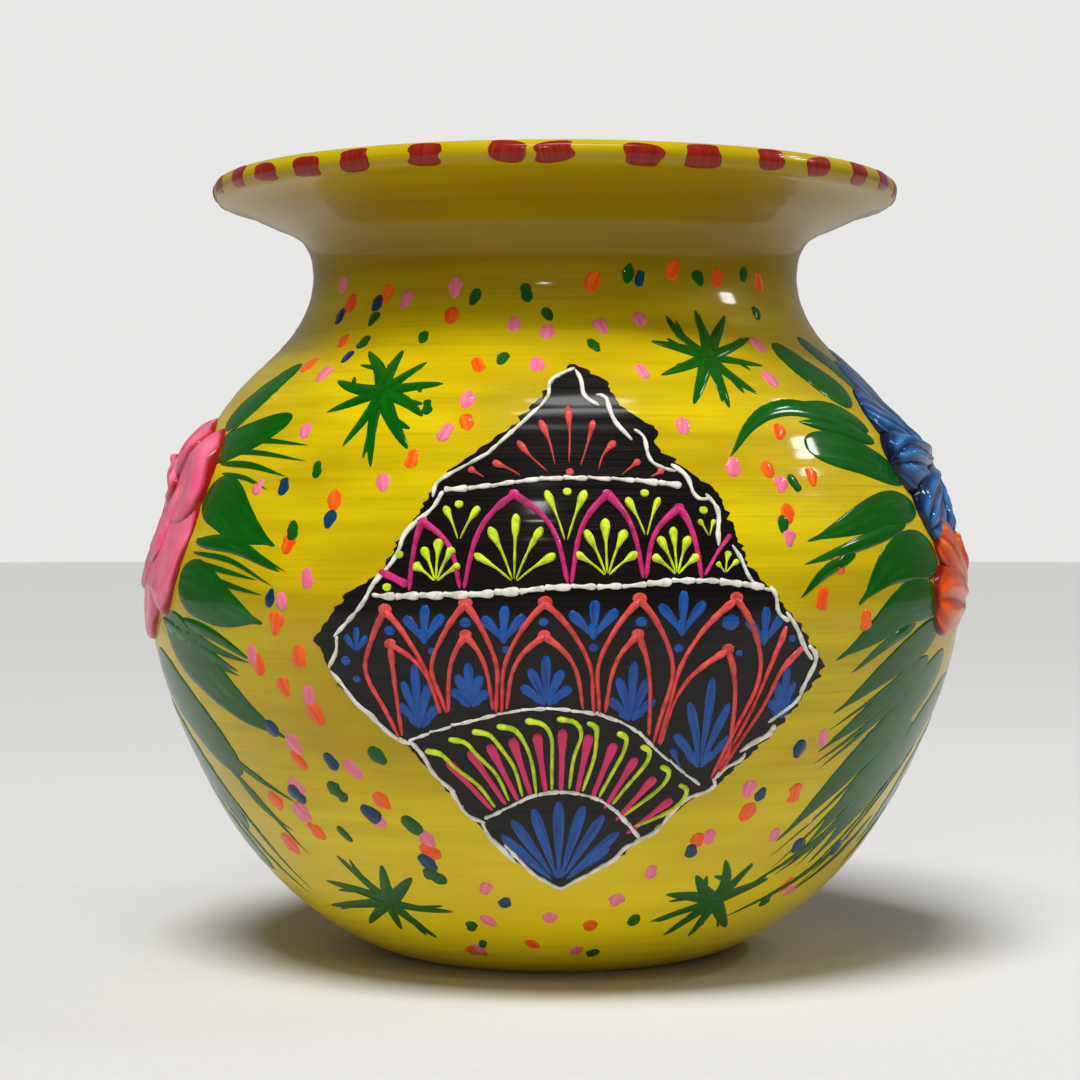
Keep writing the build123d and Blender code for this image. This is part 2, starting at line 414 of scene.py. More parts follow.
panel_left = [
    (0.6, 55), (-7.4, 66), (-11.5, 77), (-20, 100), (-28, 115), (-31.8, 130), (-26.3, 143), (-22.5, 147),
    (-17.1, 168), (-14.8, 176), (-6, 190), (-1.9, 200), (2.6, 211),
]
panel_right = [
    (1.4, 55), (9.2, 64), (19.8, 84), (23.4, 88), (30.9, 104), (37.2, 122), (32, 134), (24.9, 150),
    (22.3, 170), (14, 184), (15.1, 188), (9.4, 197), (8, 205), (3.4, 211),
]
panel_film = 0.14

# Black enamel: a soft brush left it streaked level, hairs 45 by 1 mm, and a little duller than the rest
black_enamel, shader = varnished("black_brushed_enamel", gloss=0.48, haze=0.12)
place = add(black_enamel, "TexCoord", {}, "Object")
hair_space = add(black_enamel, "Mapping", {0: place, 3: (22, 22, 900)})
hairs = add(black_enamel, "TexNoise", {"Vector": hair_space, "Scale": 1.0, "Detail": 3.0})
two_toned(black_enamel, shader, hairs, 0.3, 0.75, ("080706", "17120f"), 0.6, 0.8)


def repeated(bm, matrix):
    """Repeat the work at another place on the pot."""
    copied = bmesh.ops.duplicate(bm, geom=bm.verts[:] + bm.edges[:] + bm.faces[:])["geom"]
    verts = [item for item in copied if isinstance(item, bmesh.types.BMVert)]
    bmesh.ops.transform(bm, matrix=matrix, verts=verts)
    return bm


def backed(bm):
    """Give the back of the pot the same work as the front."""
    return repeated(bm, Matrix.Rotation(pi, 4, "Z"))


def panel_edge(points, s, seed):
    """The panel's ragged edge at that distance along the face."""
    turns, distances = np.array(points).T
    fringe = 0.9 * noise.noise(Vector((s / 1.6, seed, 0))) + 0.5 * noise.noise(Vector((s / 0.7, seed, 5)))
    return float(np.interp(s, distances, turns)) + fringe


ground = bmesh.new()
rows, columns = 170, 30
bmesh.ops.create_grid(ground, x_segments=columns, y_segments=rows, size=1)
panel_low, panel_high = panel_left[0][1], panel_left[-1][1]
for vert in ground.verts:
    s = panel_low + (panel_high - panel_low) * (vert.co.y + 1) / 2
    left, right = panel_edge(panel_left, s, 1), panel_edge(panel_right, s, 8)
    if right < left + 0.5:
        left, right = (left + right) / 2 - 0.25, (left + right) / 2 + 0.25
    vert.co = on_wall(left + (right - left) * (vert.co.x + 1) / 2, s, panel_film)
bmesh.ops.recalc_face_normals(ground, faces=ground.faces)
bmesh.ops.solidify(ground, geom=ground.faces, thickness=0.4 * MM)
finished(backed(ground), "black_panel_ground", black_enamel)

# ---- The squeezed white lines of the panel ----
# Outliner paste, squeezed from a nozzle into round beads about a millimetre high: short overlapping
# lines hooked round the panel's edge, and four strings of dashes that part it into five bands.


def even(t):
    """The outline of a line of one width with round ends."""
    return round_ends(t, 8)


def outliner(name, colour, shade):
    """Outliner paste: thick acrylic that dries as round glossy beads, faintly mottled every 2 mm."""
    material, shader = varnished(name, 0.35)
    place = add(material, "TexCoord", {}, "Object")
    mottle = add(material, "TexNoise", {"Vector": place, "Scale": 420.0, "Detail": 2.0})
    two_toned(material, shader, mottle, 0.42, 0.7, (colour, shade), 0.35, 0.3)
    return material


white_outliner = outliner("white_outliner_paste", "ecebe0", "c9c6b6")
border_lines = [
    [(3.3, 209.5), (1.6, 207.7), (-0.7, 204.4), (-1, 199.5), (-2.3, 195.6)],
    [(-1.9, 196.5), (-4.8, 190.6), (-7.3, 185.6), (-9.6, 181)],
    [(-8.8, 182), (-12, 178.2), (-14.5, 175.2), (-16.1, 172.3), (-16.3, 168.5)],
    [(-15, 170.5), (-16.1, 165.6), (-17.7, 162.3), (-19.4, 158.5), (-20, 153.5)],
    [(-19.6, 156), (-20.9, 150), (-22.6, 146), (-24, 142)],
    [(-22.4, 147.5), (-24.5, 139.5), (-27, 134), (-28.8, 130.5)],
    [(-28.3, 131), (-28.5, 127), (-30, 122)],
    [(-29.8, 121.3), (-28, 116.8), (-26.4, 112), (-24, 108.3)],
    [(-25, 109.6), (-23.2, 105.6), (-21.2, 102.4), (-19.6, 101)],
    [(-19.8, 102.4), (-18, 97.5), (-17.2, 93.3), (-15.6, 89.3), (-14.2, 86.6)],
    [(-15.1, 88.6), (-14, 84), (-12.7, 79.6), (-10.3, 77.3)],
    [(-10.8, 77.6), (-10.1, 73.3), (-8.3, 69.1), (-6.2, 64)],
    [(-7.8, 70.5), (-5.4, 64.6), (-3.4, 60), (-1.2, 57)],
    [(-2.6, 58.8), (-0.6, 56.2), (0.9, 54.8), (2.6, 56.6), (5, 59.6)],
    [(4, 58.2), (8, 63.3), (9.8, 66), (10.6, 68.6), (13.2, 71.7)],
    [(12.2, 71.4), (15.2, 74.1), (16.8, 79.1), (18.8, 83.6)],
    [(17.6, 81.5), (19.6, 85), (21.8, 86.3), (23.2, 88.5), (22.6, 90.6)],
    [(22.9, 90.2), (24.2, 93.6), (26.4, 95.9), (26.9, 98)],
    [(25.9, 98.2), (27.7, 100.8), (29.8, 103), (30.6, 106)],
    [(29.4, 106.6), (31.4, 109.7), (33.5, 113), (34.1, 117.6)],
    [(33.6, 114.6), (34.6, 119.5), (35.3, 123), (35.1, 126), (33.9, 128)],
    [(34.8, 124), (33.5, 126.8), (31.9, 132.5), (30.1, 137.2)],
    [(30.6, 134.6), (29.2, 136.3), (28.7, 140.9), (27.9, 144)],
    [(28.2, 142.9), (26.9, 143.4), (25.2, 145.6), (24, 151.4), (23, 155.2)],
    [(21.1, 154.8), (21.4, 160), (21.7, 165.4), (20.4, 169.7)],
    [(20.9, 168.4), (19.8, 168), (18.5, 171.6), (17.7, 175.7), (16.1, 178.3)],
    [(16.7, 176.1), (14.3, 177.6), (12.9, 182.5), (12.2, 187.6), (11.4, 188.7)],
    [(11, 185.3), (9.1, 190), (8, 196.8), (7, 199.6), (6.2, 199.6)],
    [(6.7, 196.1), (4.9, 198.3), (4.2, 204), (3.3, 209)],
]
divider_lines = [
    ([(-14.9, 170.6), (-9, 171.9), (-3, 173.6), (5, 174), (12, 173.2), (17.2, 172)], 0.85),
    ([(-23.2, 141.4), (-16, 141.8), (-8, 142.4), (0, 144), (10, 144.6), (18, 145.8), (27, 143.8)], 1.05),
    ([(-19.7, 102.2), (-15, 105.6), (-9.5, 109), (-3, 111.7), (3, 111.2), (8.5, 108), (14, 99),
      (20.8, 88.6)], 0.62),
    ([(-10.4, 78.6), (-6.5, 82.6), (-3, 86.2), (0.7, 87.3), (4.6, 86.2), (8, 82.5), (12.8, 72.6)], 0.75),
]
dash_length = 6.2


def string_of_dashes(bm, points, half_width):
    """A squeezed line laid as short dashes, each one starting on the end of the last."""
    line = np.array(smooth_line(points))
    lengths = lengths_along(line * [2.0, 1.0])  # a degree is about two millimetres round the belly
    count = max(2, round(float(lengths[-1]) / dash_length))
    for k in range(count):
        places = [
            tuple(np.interp((k + ahead) / count * lengths[-1], lengths, values) for values in line.T)
            for ahead in (-0.02, 0.5, 1.02)
        ]
        places[0] = (places[0][0], places[0][1] + hand.uniform(-0.3, 0.5))
        width = half_width * hand.uniform(0.8, 1.2)
        stroke(bm, places, width, 0.7 * width + 0.2, blobs, flat=1.0, step=1.0, lumps=0.45)


def blobs(t):
    """The outline of a squeezed dash: a blob where it starts, a thinner end."""
    return (0.62 + 0.38 * cos(pi * min(1, 1.5 * t)) ** 2) * round_ends(t, 7)


white_lines = paint_mesh()
for points in border_lines:
    stroke(white_lines, points, hand.uniform(0.55, 0.8), 0.7, even, flat=1.0, step=1.0, lumps=0.7)
for points, half_width in divider_lines:
    string_of_dashes(white_lines, points, half_width)
finished(backed(white_lines), "white_squeezed_lines", white_outliner)

# ---- The squeezed coloured patterns of the panel ----
# The same paste in coral, magenta and neon yellow: a rising sun of drops in the top band, two rows
# of arches under it with fans of drops, and hooked rays in the fan near the foot.

coral_outliner = outliner("coral_outliner_paste", "e2524c", "b93c38")
magenta_outliner = outliner("magenta_outliner_paste", "d8317c", "a82560")
neon_outliner = outliner("neon_yellow_outliner_paste", "d6ee2e", "a9c227")
fan_centre = (0.6, 56.0)
dot_wall_radius = 115.0  # the wall's own radius where most of the dots lie


def round_head(t, head):
    """How full a stroke is at t whose round head takes that share of its length."""
    return sqrt(max(0.0, 1 - (1 - min(1, t / head)) ** 2))


def blunt_tail(t, square):
    """How full a stroke is at t that keeps its width and then ends blunt."""
    return sqrt(max(0.0, 1 - t**square))


def drop(t):
    """The outline of a drop: a round head, then a thin tail drawn away from it."""
    head = 0.16
    if t < head:
        return round_head(t, head)
    tail = (t - head) / (1 - head)
    return (0.26 + 0.74 * (1 - min(1, tail / 0.42)) ** 1.5) * blunt_tail(tail, 9)


def taper(t):
    """The outline of a squeezed line that starts with a blob and thins as it is drawn away."""
    return (0.42 + 0.58 * exp(-7 * t)) * round_ends(t, 12)


def bead(bm, points, half_width, outline=even):
    """One squeezed bead, round in section."""
    stroke(bm, points, half_width, 0.85 * half_width + 0.15, outline, flat=1.0, step=1.3, lumps=0.3)


def dot(bm, turn, s, radius, height=0.8, flat=0.8):
    """One round dot of paint."""
    half = degrees(radius / dot_wall_radius)
    stroke(bm, [(turn - half, s), (turn + half, s)], radius, height, lambda t: round_ends(t, 2), flat)


def arch(bm, apex, left_foot, right_foot, half_width, fullness=0.62):
    """An arch: two legs, each squeezed from the apex down, bowed out and then nearly upright."""
    for foot in (left_foot, right_foot):
        across, drop_to = foot[0] - apex[0], foot[1] - apex[1]
        points = [
            (apex[0] - 0.02 * across, apex[1]),
            (apex[0] + fullness * 0.62 * across, apex[1] + 0.14 * drop_to),
            (apex[0] + (fullness + 0.2) * across, apex[1] + 0.42 * drop_to),
            foot,
        ]
        bead(bm, points, half_width, taper)


coral = paint_mesh()
rays = [
    [(-11.8, 177), (-10.6, 175.6), (-9.6, 174.4)],
    [(-8.6, 178.8), (-6.4, 177), (-4.6, 174.8)],
    [(-5.3, 185), (-3.4, 180.5), (-1, 176)],
    [(-2.2, 191.4), (-0.8, 185), (0, 178)],
    [(1.9, 196), (2.1, 187), (1.9, 178.5)],
    [(5.6, 191.4), (4.6, 184.4), (3.5, 177.8)],
    [(8.5, 185), (6.7, 181), (5.9, 176.6)],
    [(11.7, 179.3), (10.2, 177), (9, 175)],
    [(14.8, 176.6), (13.8, 175.2), (13, 174.6)],
]
for points in rays:
    bead(coral, points, 1.15, drop)
dot(coral, 2.0, 175.9, 1.2)

outer_arches = [(-21.4, 138), (-11, 140), (-1.2, 140.2), (10.4, 141), (23, 141)]
outer_feet = [(-21.4, 102.8), (-14.4, 110.4), (-7.2, 110.6), (5.3, 110.6), (13.4, 101.5), (22.6, 90.5)]
outer_waists = [(-24.9, 122), (-15.9, 121.5), (-6.8, 121.5), (4.9, 121.5), (15.2, 121.5), (27.2, 121)]
for k, apex in enumerate(outer_arches):
    dot(coral, *apex, 1.9)
    for side in (k, k + 1):
        waist, foot = outer_waists[side], outer_feet[side]
        across = waist[0] - apex[0]
        lean = 0.35 if side == k else -0.35
        points = [
            (apex[0] - 0.03 * across, apex[1]),
            (apex[0] + 0.2 * across, apex[1] - 2.6),
            (apex[0] + 0.58 * across, apex[1] - 8.5),
            (waist[0] + lean, waist[1]),
            ((waist[0] + foot[0]) / 2 + lean, (waist[1] + foot[1]) / 2),
            (foot[0] + lean, foot[1]),
        ]
        bead(coral, points, 1.5, taper)
bead(coral, [(30.2, 133.4), (29.2, 128), (28, 121), (25.6, 106), (23, 93)], 1.3, taper)
bead(coral, [(33, 127.6), (30.6, 123), (28.6, 114), (26.2, 104), (23.2, 91.5)], 1.35, taper)
inner_arches = [
    ((-20.8, 129), (-20.6, 103.4), (-14.9, 110.2)),
    ((-11, 131.6), (-13.8, 110.6), (-7.9, 111.4)),
    ((-1.3, 131.6), (-6.2, 111.6), (3.6, 111.6)),
    ((10.2, 131.8), (6.4, 110.6), (12.4, 104)),
    ((22, 127.6), (14, 101), (24.2, 96)),
]
for apex, left_foot, right_foot in inner_arches:
    arch(coral, apex, left_foot, right_foot, 1.45, 0.56)
    dot(coral, *apex, 1.7)
finished(backed(coral), "coral_squeezed_lines", coral_outliner)

magenta = paint_mesh()
magenta_arches = [
    ((-17.3, 161.8), (-18.2, 143), (-11.7, 143.6)),
    ((-5.4, 169.6), (-11.2, 143.6), (1.6, 145)),
    ((6.9, 169.6), (2, 145), (10.9, 146.4)),
    ((16.4, 165.6), (11.2, 146.4), (18.4, 146)),
]
for apex, left_foot, right_foot in magenta_arches:
    arch(magenta, apex, left_foot, right_foot, 1.7, 0.54)
    dot(magenta, *apex, 1.5)
bead(magenta, [(23, 158), (21.2, 154), (18.8, 147)], 1.2, taper)
bead(magenta, [(-22.4, 148.2), (-20, 146), (-18.4, 144.4)], 1.1)
finished(backed(magenta), "magenta_squeezed_lines", magenta_outliner)


def lobe(t):
    """The outline of a brushed lobe: broad and round at its start, narrowing steadily to its end."""
    return round_head(t, 0.25) * (1 - 0.85 * max(0, (t - 0.25) / 0.75) ** 1.3)


def fan(bm, foot, tips, half_width, height=0.0, flat=1.0):
    """Drops that start at their fat tips and are drawn in to one foot. The outer ones droop."""
    for turn, s in tips:
        across, rise = turn - foot[0], s - foot[1]
        points = [(turn, s), (foot[0] + 0.46 * across, foot[1] + 0.52 * rise),
                  (foot[0] + 0.06 * across, foot[1] + 0.04 * rise)]
        if flat == 1.0:
            bead(bm, points, half_width, drop)
        else:
            stroke(bm, points, half_width, height, lobe, flat)


neon = paint_mesh()
fan_shape = ((0, 1.0), (0.66, 0.8), (-0.66, 0.8), (1, 0.4), (-1, 0.4))
for foot, spread, rise in (
    ((-14.8, 145.4), 3.0, 11.5), ((-5, 145.4), 5.1, 18.5), ((6.4, 147), 3.9, 15.5), ((15.2, 147.2), 3.0, 13),
):
    tips = [(foot[0] + spread * across, foot[1] + rise * up) for across, up in fan_shape]
    fan(neon, foot, tips, 1.4)
fan(neon, (21.6, 147.6), [(22.4, 153.5), (20.6, 150.5), (23.6, 151)], 1.0)
for foot, spread, rise in (((-12.2, 156.5), 2.3, 9.5), ((1.4, 156), 2.6, 14.5), ((11.6, 157.5), 2.2, 11)):
    fan(neon, foot, [(foot[0] - spread, foot[1] + rise), (foot[0] + spread, foot[1] + rise)], 1.3)
for turn, s in ((-12.6, 166.6), (1.6, 170.2), (11.9, 169.8), (19.7, 164.9), (-21.2, 143.9), (-19.9, 152.6)):
    dot(neon, turn, s, 1.25)
fan(neon, (20, 157.5), [(18.8, 162.3), (21, 162.2)], 0.9)

hooked_rays = [
    (-16.5, 99), (-13, 102.6), (-9.7, 105), (-6.4, 106.6), (-2.7, 108.2), (1.4, 108.8), (4.6, 107.6),
    (8.6, 104.6), (11.9, 100.6), (15, 94.4), (18.1, 88.6),
]
drop_rays = [
    (-14.8, 96.4), (-11.6, 99.6), (-8.8, 101.6), (-5.7, 103.6), (-2.4, 105), (1, 106.2), (4.5, 104.6),
    (7.9, 102), (11, 97.6), (14, 91.6), (17, 84.6),
]


def toward_centre(turn, s, share):
    """The place that share of the way down from a ray's top to the centre of its fan."""
    return (turn + (fan_centre[0] - turn) * share, s + (fan_centre[1] - s) * share)


for turn, s in hooked_rays:
    bend = 1.0 if turn < 3 else 0.45
    foot = toward_centre(turn, s, 0.41)
    points = [(turn - 1.2 * bend, s + 0.2), (turn + 0.7 * bend, s - 0.3), (turn + 1.9 * bend, s - 2.6),
              (toward_centre(turn, s, 0.22)[0] + 1.6, s - 9), (foot[0] + 0.9, foot[1] + 1)]
    bead(neon, points, 1.3, taper)
finished(backed(neon), "neon_squeezed_lines", neon_outliner)

# ---- The brushed patterns of the panel ----
# Blue and pink acrylic, laid with a small pointed brush between the squeezed lines: three-lobed
# sprigs, fans inside the arches, drops between the hooked rays and the palm at the panel's foot.

# Acrylic over the black: each lobe is streaked, and deeper where the ground shows through
blue_acrylic = brushed("blue_brushed_acrylic", "1a56a8", "12397a", 0.9)
rose_acrylic = brushed("rose_brushed_acrylic", "e3306c", "c22f5c", 0.8)
brush_film = 0.34


def leaf(t):
    """The outline of a brushed leaf: pointed at both ends and fullest nearer its start."""
    return sin(pi * t**0.72) ** 0.8 if 0 < t < 1 else 0.0


def trail(t):
    """The outline of a drop with a long even tail."""
    return (0.46 + 0.54 * max(0.0, 1 - t / 0.42)) * round_head(t, 0.12) * blunt_tail(t, 12)


rose = paint_mesh()
for turn, s in drop_rays:
    foot = toward_centre(turn, s, 0.38)
    stroke(rose, [(turn, s), toward_centre(turn, s, 0.2), foot], 1.9, 0.6, trail, 0.7)
finished(backed(rose), "rose_drops", rose_acrylic)

blue = paint_mesh()
for turn, s, spread, rise in (
    (-16.3, 129.6, 2.6, 10), (-6.3, 130, 2.7, 9.5), (4.7, 131, 3, 10), (15.8, 131.8, 3, 11.5),
    (27, 128.8, 2.7, 10),
):
    tips = [(turn + 0.2, s + rise), (turn - spread, s + 0.68 * rise), (turn + spread, s + 0.74 * rise)]
    fan(blue, (turn, s), tips, 1.75, brush_film, 0.6)
    stroke(blue, [(turn, s + 4), (turn, s - 0.8)], 2.0, brush_film, leaf, 0.6)
fan(blue, (-25.6, 126.5), [(-27.2, 131.2), (-25.4, 133.4), (-23.9, 131)], 1.3, brush_film, 0.6)
for turn, s, radius in (
    (-15.4, 127.3, 1.1), (-6, 127.8, 1.2), (4.7, 128.4, 1.3), (15.4, 128, 1.3), (-20.8, 132.6, 1.6),
    (-11, 134.9, 1.6), (-1.4, 135.1, 1.3), (10.6, 135.1, 1.6), (22.2, 134.7, 2.6), (-27.3, 124.2, 1.5),
    (-26, 119.2, 1.2), (31.2, 130, 1.2), (23.6, 126.4, 1.1),
):
    dot(blue, turn, s, radius, brush_film, 0.6)
blue_fan_shape = (
    (0, 1), (0.62, 0.72), (-0.62, 0.74), (0.95, 0.38), (-0.95, 0.4), (0.45, 0.2), (-0.45, 0.2),
)
for foot, spread, rise in (
    ((-17.8, 105.5), 2.9, 18.5), ((-10.8, 112), 2.6, 12.5), ((-1.1, 112.6), 3.4, 14), ((9.8, 108), 3.2, 17),
    ((20.2, 93.5), 4.6, 27), ((31, 107.5), 2.2, 15),
):
    tips = [(foot[0] + spread * across, foot[1] + rise * up) for across, up in blue_fan_shape]
    fan(blue, foot, tips, 1.7, brush_film, 0.6)
for turn, s in ((16.6, 103.5), (15.8, 100.2)):
    stroke(blue, [(turn, s), (turn + 2, s - 8)], 1.5, brush_film, drop, 0.6)
for turn, s in (
    (-8.2, 73.6), (-6.4, 78.6), (-3.2, 82.2), (0.5, 84.6), (4.1, 83.2), (7.1, 80.2), (9.6, 74.6),
    (8.4, 69.5), (-6.6, 69.4),
):
    points = [(turn, s), toward_centre(turn, s, 0.5), toward_centre(turn, s, 0.86)]
    stroke(blue, points, 1.9, brush_film, lobe, 0.6)
dot(blue, 0.6, 60.5, 2.2, brush_film, 0.6)
finished(backed(blue), "blue_brushed_pattern", blue_acrylic)

# ---- The green leaves and stars ----
# Green acrylic, laid with a round brush straight onto the yellow: leaves that stand out from behind
# each clay flower, each a loaded stroke with a few dry hairs beside it, and stars of short strokes.

# Green acrylic: full and dark where the brush was loaded, in paler streaks where it ran dry
green_acrylic = brushed("green_brushed_acrylic", "035305", "106c0c", 1.6, 0.7)
leaf_film = 0.22


def tongue(t):
    """The outline of a loaded brush stroke: a broad round start, then a narrow tail."""
    body = 1 - 0.84 * min(1, max(0, (t - 0.28) / 0.64)) ** 1.7
    return round_head(t, 0.26) * body * blunt_tail(t, 10)


def blade(t):
    """The outline of a full brush stroke: rounded at both ends."""
    return round_ends(t, 2.8) * (1 - 0.25 * t)


def leaves(bm, points, half_width, hairs=0, side=1.0, outline=tongue):
    """One brushed leaf, and the dry hairs of the brush that trail beside it."""
    stroke(bm, points, half_width, leaf_film, outline, sides=16)
    for k in range(hairs):
        gap = half_width * (0.72 + 0.42 * k) * side
        start, end = points[0], points[-1]
        middle = ((start[0] + end[0]) / 2, (start[1] + end[1]) / 2)
        shift = hand.uniform(-1, 1)
        hair = [
            (start[0] + 0.18 * (end[0] - start[0]), start[1] + 0.18 * (end[1] - start[1]) + 0.85 * gap),
            (middle[0], middle[1] + gap + 0.6 * shift),
            (end[0] - 0.06 * k * (end[0] - start[0]), end[1] + 1.25 * gap + shift),
        ]
        stroke(bm, hair, hand.uniform(0.6, 1.1), leaf_film, leaf)


def mirrored_across(bm, turn):
    """Repeat the work on the other side of a flower that faces that way."""
    turned = Matrix.Rotation(radians(turn), 4, "Z")
    repeated(bm, turned @ Matrix.Diagonal((-1, 1, 1, 1)) @ turned.inverted())


flower_turn = 84.0
left_leaves = paint_mesh()
leaves(left_leaves, [(-65.9, 183), (-54.5, 187.6), (-44.8, 193.8)], 6.4, outline=blade)
leaves(left_leaves, [(-66.4, 192), (-59.4, 200.8), (-52.5, 214)], 6.4, 3, -1, blade)
for points in (
    [(-60, 186), (-50, 186.4), (-38.5, 184.5)], [(-60, 183), (-50, 182.6), (-38, 179.6)],
    [(-60, 179.5), (-50, 178.6), (-41, 175)], [(-58, 176.4), (-50, 174.6), (-44, 171)],
    [(-58, 156.4), (-47, 155), (-36.5, 147.5)], [(-58, 152.5), (-48, 150.5), (-38.5, 143.5)],
):
    stroke(left_leaves, points, hand.uniform(0.8, 1.3), leaf_film, leaf)
leaves(left_leaves, [(-60.5, 169), (-56, 168.6), (-48, 161.5), (-39.3, 154.6)], 7.8)
stroke(left_leaves, [(-58, 155.6), (-48, 154.8), (-37.6, 147.5)], 2.8, leaf_film, leaf)
leaves(left_leaves, [(-61, 144), (-56.5, 143), (-49, 138), (-40.4, 133.4)], 8.2, 2, 1)
stroke(left_leaves, [(-60, 133.4), (-51, 129.5), (-43.2, 123)], 2.2, leaf_film, leaf)
stroke(left_leaves, [(-68, 133), (-57, 127), (-46.5, 119.6)], 2.8, leaf_film, leaf)
leaves(left_leaves, [(-66, 133), (-53.6, 117.4), (-47, 108), (-40, 100.5)], 8.4)
leaves(left_leaves, [(-76, 121), (-63.6, 104.5), (-54, 88)], 11, outline=blade)
leaves(left_leaves, [(-82, 106), (-73, 88), (-63, 68)], 11, outline=blade)
leaves(left_leaves, [(-84, 84), (-75, 68), (-66, 52)], 9.5, outline=blade)
for points in (
    [(-61, 133), (-50.7, 125.4), (-43.7, 122.3)], [(-64, 128.5), (-54.2, 122.9), (-46.4, 118.3)],
    [(-65, 104.2), (-54.8, 91.6), (-43, 80)], [(-69.5, 91.5), (-61, 72), (-54, 46)],
    [(-62, 96), (-53, 80), (-46, 62)], [(-72, 84), (-64, 62), (-57, 44)], [(-58, 92), (-52, 76), (-47, 70)],
):
    stroke(left_leaves, points, hand.uniform(1.1, 1.9), leaf_film, leaf)
mirrored_across(left_leaves, -flower_turn)
finished(left_leaves, "green_leaves_left", green_acrylic)

right_leaves = paint_mesh()
leaves(right_leaves, [(58, 199.5), (50.8, 210.3), (46.8, 222.5)], 8.0, outline=blade)
leaves(right_leaves, [(66, 203), (64, 213), (58.5, 226)], 6.4, outline=blade)
for points in (
    [(57, 188), (47, 194.5), (38.5, 196.6), (31.4, 192), (25.3, 180.5)],
    [(58, 186.4), (50, 190.2), (40, 192)], [(58, 190), (50, 196), (42, 198.6)],
):
    stroke(right_leaves, points, hand.uniform(3.2, 3.9), leaf_film, leaf)
leaves(right_leaves, [(39.4, 185), (48.5, 182.6), (55, 179), (62.4, 174.4)], 6.8, outline=blade)
leaves(right_leaves, [(62.6, 166), (55, 165.6), (46.5, 162.4), (34.6, 156)], 5.4)
stroke(right_leaves, [(57, 160.6), (47, 156.6), (41, 153.6), (33.4, 149.6)], 2.4, leaf_film, leaf)
stroke(right_leaves, [(43, 152.4), (37, 147.8), (32.4, 140.6)], 1.9, leaf_film, leaf)
leaves(right_leaves, [(65, 150.6), (57, 151.6), (49.6, 148.4), (42.4, 138.4)], 7.6)
leaves(right_leaves, [(63.5, 138.6), (55.5, 139), (48, 133), (39, 123.5)], 6.4)
stroke(right_leaves, [(56, 132.4), (48, 126.4), (42.4, 119.6)], 1.9, leaf_film, leaf)
for points, half_width in (
    ([(64, 132), (51, 120.6), (40.6, 108)], 5.0), ([(62, 122), (50.2, 109.8), (39.8, 96.5)], 4.2),
    ([(69, 123), (60, 109), (50, 93), (38, 68)], 7.4), ([(63, 103), (54.4, 87), (45.6, 64)], 5.0),
    ([(77, 115), (68, 100), (59, 82), (50, 58)], 7.8), ([(83, 101), (76, 84), (66, 62)], 8.4),
):
    leaves(right_leaves, points, half_width, 2, -1)
for points in (
    [(53.1, 73.7), (44.8, 61.9), (36.8, 52.1)], [(59.7, 66), (50, 52), (35.9, 37.6)],
    [(57, 80), (49, 66), (42, 55)], [(66, 72), (58, 56), (50, 44)],
):
    stroke(right_leaves, points, hand.uniform(1.0, 1.6), leaf_film, leaf)
mirrored_across(right_leaves, flower_turn)
finished(right_leaves, "green_leaves_right", green_acrylic)


def ray(t):
    """The outline of one ray of a star: broad, then narrowing to a blunt end."""
    return round_head(t, 0.2) * (1 - 0.62 * t**1.6) * blunt_tail(t, 9)


stars = paint_mesh()
star_tips = [
    ((-28.5, 201.5), [
        (-28.6, 218), (-36.3, 218), (-38.8, 206), (-37.6, 195), (-32.2, 184), (-26.5, 177.6), (-21.3, 183),
        (-20, 193), (-18, 204), (-22.4, 212.5),
    ]),
    ((28, 215), [
        (23, 231), (30.3, 233.5), (37.6, 232), (41, 224), (39, 212), (34, 201), (27.6, 196), (21.6, 197),
        (17.5, 207), (18, 221),
    ]),
    ((-32.5, 46), [
        (-39, 63), (-30, 61), (-25, 57), (-19.5, 43.5), (-27, 29), (-35, 32), (-44, 33), (-52, 40), (-46, 52),
    ]),
    ((31, 47), [
        (20, 51), (24.4, 58), (29, 63), (35, 61), (41, 54), (19, 39), (24, 31), (31, 29), (40, 32),
    ]),
]
for centre, tips in star_tips:
    for turn, s in tips:
        bend = hand.uniform(-1.2, 1.2)
        middle = ((centre[0] + turn) / 2 + bend, (centre[1] + s) / 2 + 0.6 * bend)
        inner = (centre[0] - 0.1 * (turn - centre[0]), centre[1] - 0.1 * (s - centre[1]))
        stroke(stars, [inner, middle, (turn, s)], hand.uniform(2.1, 2.9), leaf_film + 0.03, ray, step=2.5)
        fork = hand.choice((-1, 1)) * hand.uniform(1.6, 2.8)
        tip = (turn + 0.5 * fork - 0.2 * (turn - centre[0]), s + fork - 0.2 * (s - centre[1]))
        stroke(stars, [middle, tip], hand.uniform(0.9, 1.4), leaf_film, ray)
    dot(stars, *centre, 3.4, leaf_film + 0.06, 0.5)
finished(backed(stars), "green_stars", green_acrylic)

# ---- The dabs ----
# Small touches of pink, orange, blue and green acrylic between everything else, two or three colours
# together, put on last with the tip of the brush.

